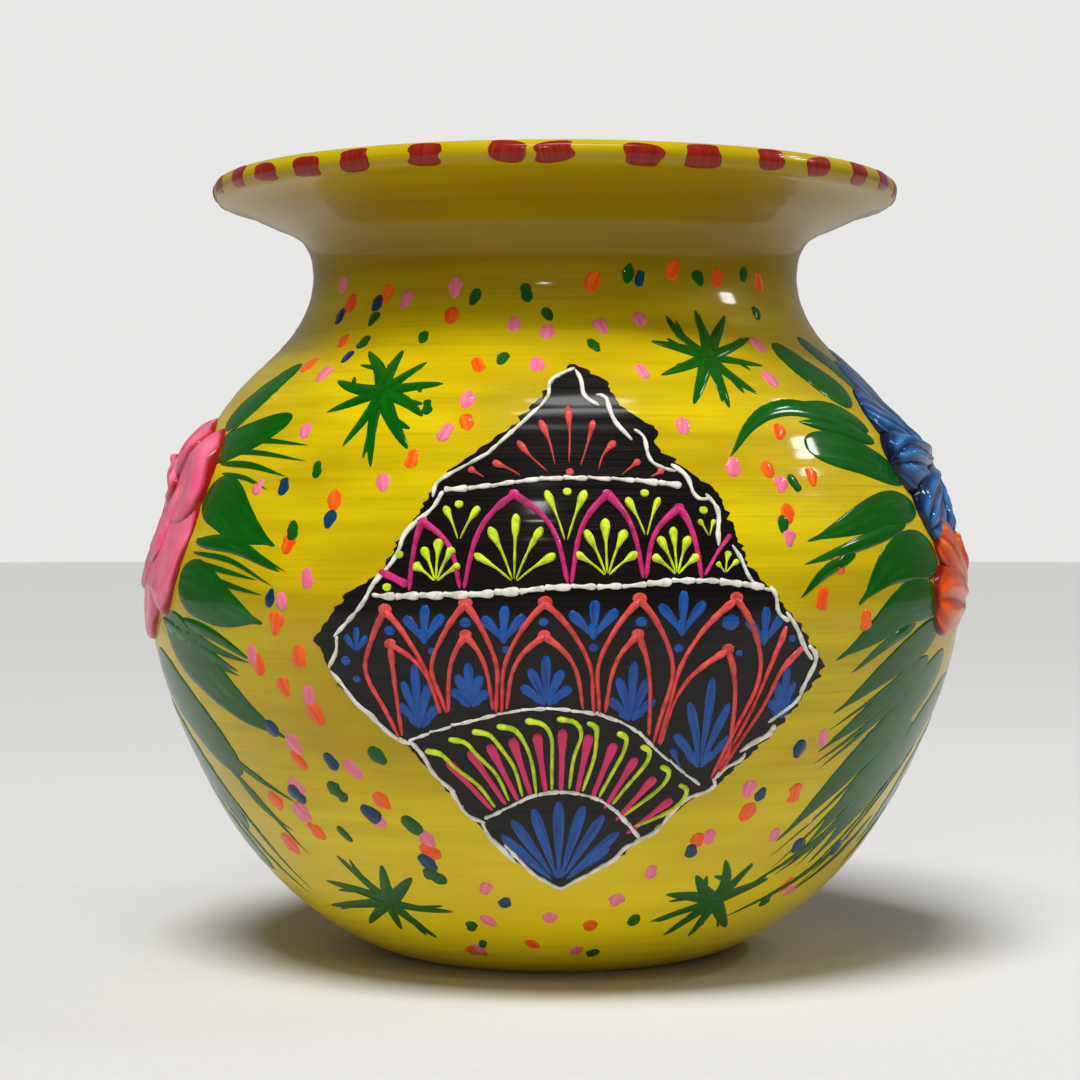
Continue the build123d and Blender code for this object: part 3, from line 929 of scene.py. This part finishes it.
# Dabbed acrylic: one touch each, so it lies a little unevenly, with a streak or two
dab_colours = {
    "pink": brushed("pink_dabbed_acrylic", "ec6f8c", "f08fa2", 1.2),
    "orange": brushed("orange_dabbed_acrylic", "f5500a", "fb7a1c", 1.2),
    "blue": brushed("blue_dabbed_acrylic", "123f66", "0c2a44", 1.2),
    "green": brushed("green_dabbed_acrylic", "0c5a12", "1c4a14", 1.2),
}
dab_sizes = {"pink": (2.3, 2.9), "orange": (2.5, 3.0), "blue": (2.1, 2.7), "green": (2.0, 2.9)}
dab_places = {
    "pink": [
        (-56, 243.5), (-33.4, 237), (-21.8, 240), (-43.4, 209), (-40.5, 189), (-24, 173), (-46.3, 172),
        (-8, 227.5), (-1.5, 224.5), (9, 226.5), (17, 229.5), (-3, 211), (-13.5, 198.5), (-16, 188),
        (14.5, 208.5), (19, 190), (42, 221), (38.6, 207), (25.5, 177.6), (32.6, 172.6), (31.8, 157),
        (-33, 146), (-37, 139.5), (-43, 124.5), (-34, 114), (-39, 99), (-29.5, 92.5), (-41.5, 85.5),
        (-28, 77), (-42.5, 77), (-20, 71), (-12, 54), (-13, 40), (-1, 42), (11, 49.5), (16, 60),
        (-18, 24), (5, 24), (40, 101), (29, 86.5), (24.5, 71.5), (37, 70.5), (51, 47),
    ],
    "orange": [
        (-50.5, 237), (-39.3, 239), (-21.3, 231), (-45.5, 223), (-50, 213.5), (-20.3, 180), (-31, 168),
        (-37, 155.5), (8, 241.5), (-13, 211), (-13, 191), (26.5, 245.5), (38.4, 244), (52.6, 244),
        (35.3, 188.5), (31, 177), (38.6, 174.7), (32.4, 164), (39.5, 150), (36, 140.5), (44, 134),
        (-38, 133.5), (-34.5, 125), (-42, 122), (-38, 116), (-33.5, 108.5), (-39, 94), (-26, 83),
        (-48, 80), (-41, 71), (-50, 65), (7, 38), (-5, 28), (30, 79), (38, 84), (22.6, 70.6), (-20, 67),
        (48, 50), (-19, 22),
    ],
    "blue": [
        (-52.4, 233), (-41.3, 236.4), (-40.7, 216), (-40.9, 172), (-31, 162.4), (-39, 140.5),
        (-42.5, 103.5), (-33, 94.5), (-42, 83), (-28.6, 78.6), (-21, 63), (-9, 48.5), (18.5, 242.6),
        (36, 98), (31.4, 84.5), (22, 67), (44, 65.5), (57, 62),
    ],
    "green": [
        (-40.5, 231), (-25.7, 223), (-39.3, 222), (-19.7, 196), (-35.5, 177), (-36.8, 159), (16, 244),
        (-1.5, 231), (-17, 237), (-6, 238), (-9, 213.5), (7, 219), (33, 243.5), (47, 245.5),
        (47.8, 233.5), (35, 173), (31.3, 161), (-25, 97), (-33.5, 85), (-22, 75.5), (-20.5, 58),
        (-35, 71), (-17, 37), (-16.5, 27), (9, 22), (15.5, 40), (45, 44),
    ],
}


def daub(t):
    """The outline of a single touch of the brush: a rough oval, fuller at its far end."""
    return round_ends(t, 2.6) * (0.82 + 0.18 * t)


for layer, colour in enumerate(("orange", "pink", "green", "blue")):
    half_width, half_length = dab_sizes[colour]
    dabs = paint_mesh()
    for turn, s in dab_places[colour]:
        lower_left = turn < -18 and s < 112  # there the dabs are bigger and all lean one way
        lean = hand.uniform(-0.25, 0.25) + 0.7 if lower_left else hand.uniform(-0.5, 0.5)
        size = hand.uniform(0.85, 1.1) * (1.2 if lower_left else 1)
        across = degrees(half_length * size * sin(lean) / radius_at(s))
        up = half_length * size * cos(lean)
        spread = half_width * size / sqrt(cos(radians(turn)))
        film = 0.14 + 0.04 * layer + hand.uniform(0, 0.03)
        points = [(turn + across, s - up), (turn - across, s + up)]
        stroke(dabs, points, spread, film, daub, flat=0.4, step=1.2, lumps=0.6)
    finished(backed(dabs), colour + "_dabs", dab_colours[colour])

# ---- The clay flowers ----
# Petals of the same clay, pressed onto the wall one over the edge of the last and shaped with the
# fingers: a pink rosette on the left flank, a ribbed blue flower over an orange one on the right.

pink_centre = (-82.0, length_at(129.0))
blue_centre = (flower_turn, length_at(146.0))
orange_centre = (flower_turn, length_at(107.0))
waist = length_at(125.5)
waist_gap = 0.4
swelling_place = length_at(147.5)


def thickness(s, height):
    """How thick the clay lies at that place: it swells over the shoulder and thins out above it."""
    rise = (s - swelling_place) / 11
    return height * max(0.2, 1 - 0.45 * max(0.0, rise)) + 3.6 * exp(-rise * rise)


def petal_paint(name, light, body, shade, groove, shade_share):
    """Flower paint: the body colour, lighter in blots about 8 mm apart, with painted shade in the valleys
    of the ribs and in the pressed hollow, and a dark line round each petal and at its root, where it goes
    under the next, partly brushed dark paint and partly painted shade."""
    material, shader = varnished(name)
    across_petal = add(material, "Attribute", {}, "Vector", attribute_name="petal")
    in_rib = add(material, "SeparateXYZ", {0: across_petal}, "Y")
    at_edge = add(material, "SeparateXYZ", {0: across_petal}, "Z")
    place = add(material, "TexCoord", {}, "Object")
    mottle = add(material, "TexNoise", {"Vector": place, "Scale": 130.0, "Detail": 3.0})
    lit = add(material, "MapRange", {"Value": mottle, "From Min": 0.4, "From Max": 0.68})
    # Painted shade in the valleys between the ribs, or in a petal's pressed hollow
    shaded = add(material, "MapRange", {"Value": in_rib, "To Max": shade_share})
    wobble = add(material, "MapRange", {"Value": mottle, "To Min": -0.16, "To Max": 0.16})
    edge = add(material, "Math", {0: at_edge, 1: wobble}, operation="ADD")
    # The dark line at each petal's edge and root: partly brushed paint, partly painted shade where it laps or
    # goes under the next
    line = add(material, "MapRange", {"Value": edge, "From Min": 0.52, "From Max": 0.8})
    colour = linear(body)
    for share, tint in ((lit, light), (shaded, shade), (line, groove)):
        colour = add(material, "Mix", {0: share, 6: colour, 7: linear(tint)}, 2, data_type="RGBA")
    marks = add(material, "Bump", {"Strength": 0.3, "Distance": 0.4 * MM, "Height": mottle})
    plug(material, shader, {"Base Color": colour, "Normal": marks})
    return material


def petal(centre, angle, root, tip, half_width, height, fullness, ribs, hollow):
    """One petal, lying along the angle from its root to its tip: rounded at its edges, pressed
    hollow in its middle or scored into ribs, and higher on the side that laps the petal before."""
    bm = bmesh.new()
    layer = bm.verts.layers.float_vector.new("petal")
    bmesh.ops.create_grid(bm, x_segments=22, y_segments=6 * ribs + 4 if ribs else 18, size=1)
    for vert in bm.verts:
        a = sin((vert.co.x + 1) * pi / 4)
        b = vert.co.y
        if a < fullness:
            width = 0.28 + 0.72 * sin(pi / 2 * a / fullness)
            tip_edge = 0.0
        else:
            tip_edge = (a - fullness) / (1 - fullness)
            width = sqrt(max(0.0, 1 - tip_edge**2.6))
        along, across = root + (tip - root) * a, half_width * width * b
        edge = max(abs(b) ** 3.2, tip_edge**4)
        pillow = (1 - abs(b) ** (2.2 if b > 0 else 6)) ** 0.5 * (1 - tip_edge**4) ** 0.55
        pressed = hollow * exp(-(((a - 0.55) / 0.28) ** 2) - (b / 0.5) ** 2)
        wave = ribs * (b + 1) / 2 + 0.12 * sin(5 * a + angle)
        rib = 0.5 + 0.5 * cos(2 * pi * wave) if ribs else pressed
        rise = 0.62 + 0.38 * sin(pi / 2 * min(1, a / 0.6)) - 0.16 * b
        uneven = 1 + 0.22 * noise.noise(Vector((a * 3, 1.5 * b, 2 * angle)))
        relief = pillow * rise * (1 - pressed) * (1 - 0.24 * (1 - rib) * (ribs > 0)) * uneven
        x = along * cos(angle) - across * sin(angle)
        y = along * sin(angle) + across * cos(angle)
        s = centre[1] + y
        vert.co = on_wall(centre[0] + degrees(x / radius_at(s)), s, relief * thickness(s, height))
        # For the paint: how far along the petal, the painted shade of a rib's valley or of the hollow, and
        # the dark edge and root line
        vert[layer] = (a, 1 - rib if ribs else rib, max(edge, 0.9 * (1 - min(1, a / 0.1))))
    bmesh.ops.remove_doubles(bm, verts=bm.verts, dist=1e-6)
    bmesh.ops.recalc_face_normals(bm, faces=bm.faces)
    bmesh.ops.solidify(bm, geom=bm.faces, thickness=2.2 * MM)
    return bm


def heart(centre, radius, height):
    """The button at a flower's centre: a low dome of clay, stippled all over with small seeds."""
    bm = bmesh.new()
    layer = bm.verts.layers.float_vector.new("petal")
    dome = bmesh.ops.create_uvsphere(bm, u_segments=40, v_segments=20, radius=1)["verts"]
    balls = [(dome, 0, 0, radius, height, 0.9)]
    seeds = 34
    for k in range(seeds):
        away = 0.86 * radius * sqrt((k + 0.5) / seeds)
        turn = k * pi * (3 - sqrt(5))
        seed = bmesh.ops.create_uvsphere(bm, u_segments=8, v_segments=6, radius=1)["verts"]
        rise = height * sqrt(1 - (away / radius) ** 2) - 0.35
        balls.append((seed, away * cos(turn), away * sin(turn), 0.62, rise, 0.0))
    for verts, x0, y0, size, rise, shade in balls:
        for vert in verts:
            x, y = x0 + size * vert.co.x, y0 + size * vert.co.y
            s = centre[1] + y
            swollen = thickness(s, 0.0)
            if verts is dome:
                out = vert.co.z * (rise - 0.3 + swollen if vert.co.z > 0 else 1.5)
            else:
                out = rise + swollen + 0.62 * vert.co.z - 0.35
            vert[layer] = (0.5, shade, 0.0)
            vert.co = on_wall(centre[0] + degrees(x / radius_at(s)), s, out)
    return bm


def oval_reach(sideways, up):
    """The reach of a flower with that half-width and half-height, in every direction."""
    return lambda angle: 1 / hypot(cos(angle) / sideways, sin(angle) / up)


def stopped_reach(free_reach, stop, upward):
    """The reach of a flower that stops at a level line above its heart (upward 1) or below it (-1)."""

    def reach(angle):
        free, toward = free_reach(angle), upward * sin(angle)
        return free if toward * free <= stop else stop / toward

    return reach


def ring(name, petals, count, material, centre, root, reach, height, crowding,
         fullness=0.72, ribs=0, hollow=0.0, phase=0.0):
    """So many petals, spaced as a full ring of that count, each lapping the one before it. They take
    the place of the nodes of that name."""
    for k in range(petals):
        angle = phase + 2 * pi * k / count
        tip = reach(angle)
        half_width = crowding * pi * (root + (tip - root) * fullness) / count
        made = petal(centre, angle, root, tip, half_width, height, fullness, ribs, hollow)
        node = f"{name}_{k + 1}"
        piece = finished(made, "sculpted_" + node, material)
        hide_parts(node)


pink_petal_paint = petal_paint("pink_petal_acrylic", "f27c96", "e85e80", "cf4470", "96160f", 0.45)
blue_petal_paint = petal_paint("blue_petal_acrylic", "4a90c8", "1f609e", "0c2c62", "0a1630", 1.0)
orange_petal_paint = petal_paint("orange_petal_acrylic", "f88038", "f0581a", "ac280c", "6c1006", 0.75)
gold_paint = petal_paint("gold_button_acrylic", "f2c01c", "e8a80e", "9c5c08", "7c3a08", 1.0)

pink_reach = oval_reach(47.5, 33.5)
ring("pink_outer", 9, 9, pink_petal_paint, pink_centre, 14.0, pink_reach,
     height=2.3, crowding=1.36, hollow=0.3, phase=radians(24))
ring("pink_inner", 6, 6, pink_petal_paint, pink_centre, 6.5,
     lambda angle: 0.57 * pink_reach(angle), height=3.0, crowding=1.34, fullness=0.66, hollow=0.3)
ring("blue_petal", 14, 14, blue_petal_paint, blue_centre, 6.4,
     stopped_reach(oval_reach(46.5, 45), blue_centre[1] - waist - waist_gap, -1),
     height=3.4, crowding=1.34, ribs=4)
ring("orange_petal", 8, 14, orange_petal_paint, orange_centre, 5.2,
     stopped_reach(oval_reach(48, 45), waist - waist_gap - orange_centre[1], 1),
     height=3.6, crowding=1.3, ribs=3)
for colour, centre, radius in (("pink", pink_centre, 7.0), ("blue", blue_centre, 8.0),
                               ("orange", orange_centre, 6.5)):
    button = finished(heart(centre, radius, 1.4), f"{colour}_stippled_button", gold_paint)
    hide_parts(f"{colour}_heart")

# ---- The table, the light and the camera ----
# A pale matt table top in a room that is bright behind the pot and dark in front of it. Daylight
# comes from high in front, and four small oval soft boxes put the glints on the varnish.

# Matt paper, with faint fibres every 3 mm
paper = bpy.data.materials.new("pale_matt_paper")
paper.use_nodes = True
place = add(paper, "TexCoord", {}, "Object")
fibres = add(paper, "TexNoise", {"Vector": place, "Scale": 300.0, "Detail": 3.0})
tone = add(paper, "Mix", {0: fibres, 6: linear("d2d1cf"), 7: linear("d9d8d6")}, 2, data_type="RGBA")
plug(paper, paper.node_tree.nodes["Principled BSDF"],
     {"Base Color": tone, "Roughness": 0.9, "Specular IOR Level": 0.1})
bm = bmesh.new()
bmesh.ops.create_circle(bm, cap_ends=True, segments=96, radius=6.0)
floor_mesh = bpy.data.meshes.new("table")
bm.to_mesh(floor_mesh)
bm.free()
floor_mesh.materials.append(paper)
floor = bpy.data.objects.new("table", floor_mesh)
bpy.context.scene.collection.objects.link(floor)

world = bpy.data.worlds.new("pale_room")
bpy.context.scene.world = world
world.use_nodes = True
way = add(world, "TexCoord", {}, "Generated")
behind = add(world, "SeparateXYZ", {0: way}, "Y")
room = add(world, "MapRange", {"Value": behind, "From Min": 0.45, "From Max": 1.0,
                               "To Min": 0.05, "To Max": 0.34})
seen = add(world, "LightPath", {}, "Is Camera Ray")
strength = add(world, "Mix", {0: seen, 2: room, 3: 0.84})
plug(world, world.node_tree.nodes["Background"], {"Color": linear("fbfaf8"), "Strength": strength})


def faced(light, name, place, target):
    """Put a light there, facing its target."""
    box = bpy.data.objects.new(name, light)
    box.location = place
    box.rotation_euler = (Vector(target) - Vector(place)).to_track_quat("-Z", "Y").to_euler()
    bpy.context.scene.collection.objects.link(box)
    return box


def soft_box(name, place, width, height, power):
    """An oval soft box that faces the pot."""
    lamp = bpy.data.lights.new(name, "AREA")
    lamp.shape = "ELLIPSE"
    lamp.size, lamp.size_y, lamp.energy = width, height, power
    return faced(lamp, name, place, (0, 0, 0.13))


for name, strength, spread, place in (
    ("skylight", 3.0, 22, (-0.3, -0.8, 2.1)), ("front_fill", 0.32, 40, (-0.1, -1.0, 0.12)),
):
    sun = bpy.data.lights.new(name, "SUN")
    sun.energy, sun.angle = strength, radians(spread)
    faced(sun, name, place, (0, 0, 0)).visible_glossy = False
soft_box("high_soft_box", (0.1, -0.58, 1.35), 0.7, 0.15, 3.6)
soft_box("right_soft_box", (0.986, 0.055, 0.827), 0.17, 0.09, 1.2)
soft_box("small_right_soft_box", (0.851, 0.175, 0.957), 0.14, 0.05, 0.5)
soft_box("low_lamp", (-0.1, -1.1, 1.05), 0.12, 0.05, 0.8)

camera_data = bpy.data.cameras.new("camera")
camera_data.lens = 87.33
camera_data.shift_x = -0.0139
camera_data.shift_y = -0.0278
camera = bpy.data.objects.new("camera", camera_data)
camera.location = (0, -0.8, 0.1329)
camera.rotation_euler = (radians(90), 0, 0)
bpy.context.scene.collection.objects.link(camera)
bpy.context.scene.camera = camera
bpy.context.scene.view_settings.view_transform = "Standard"
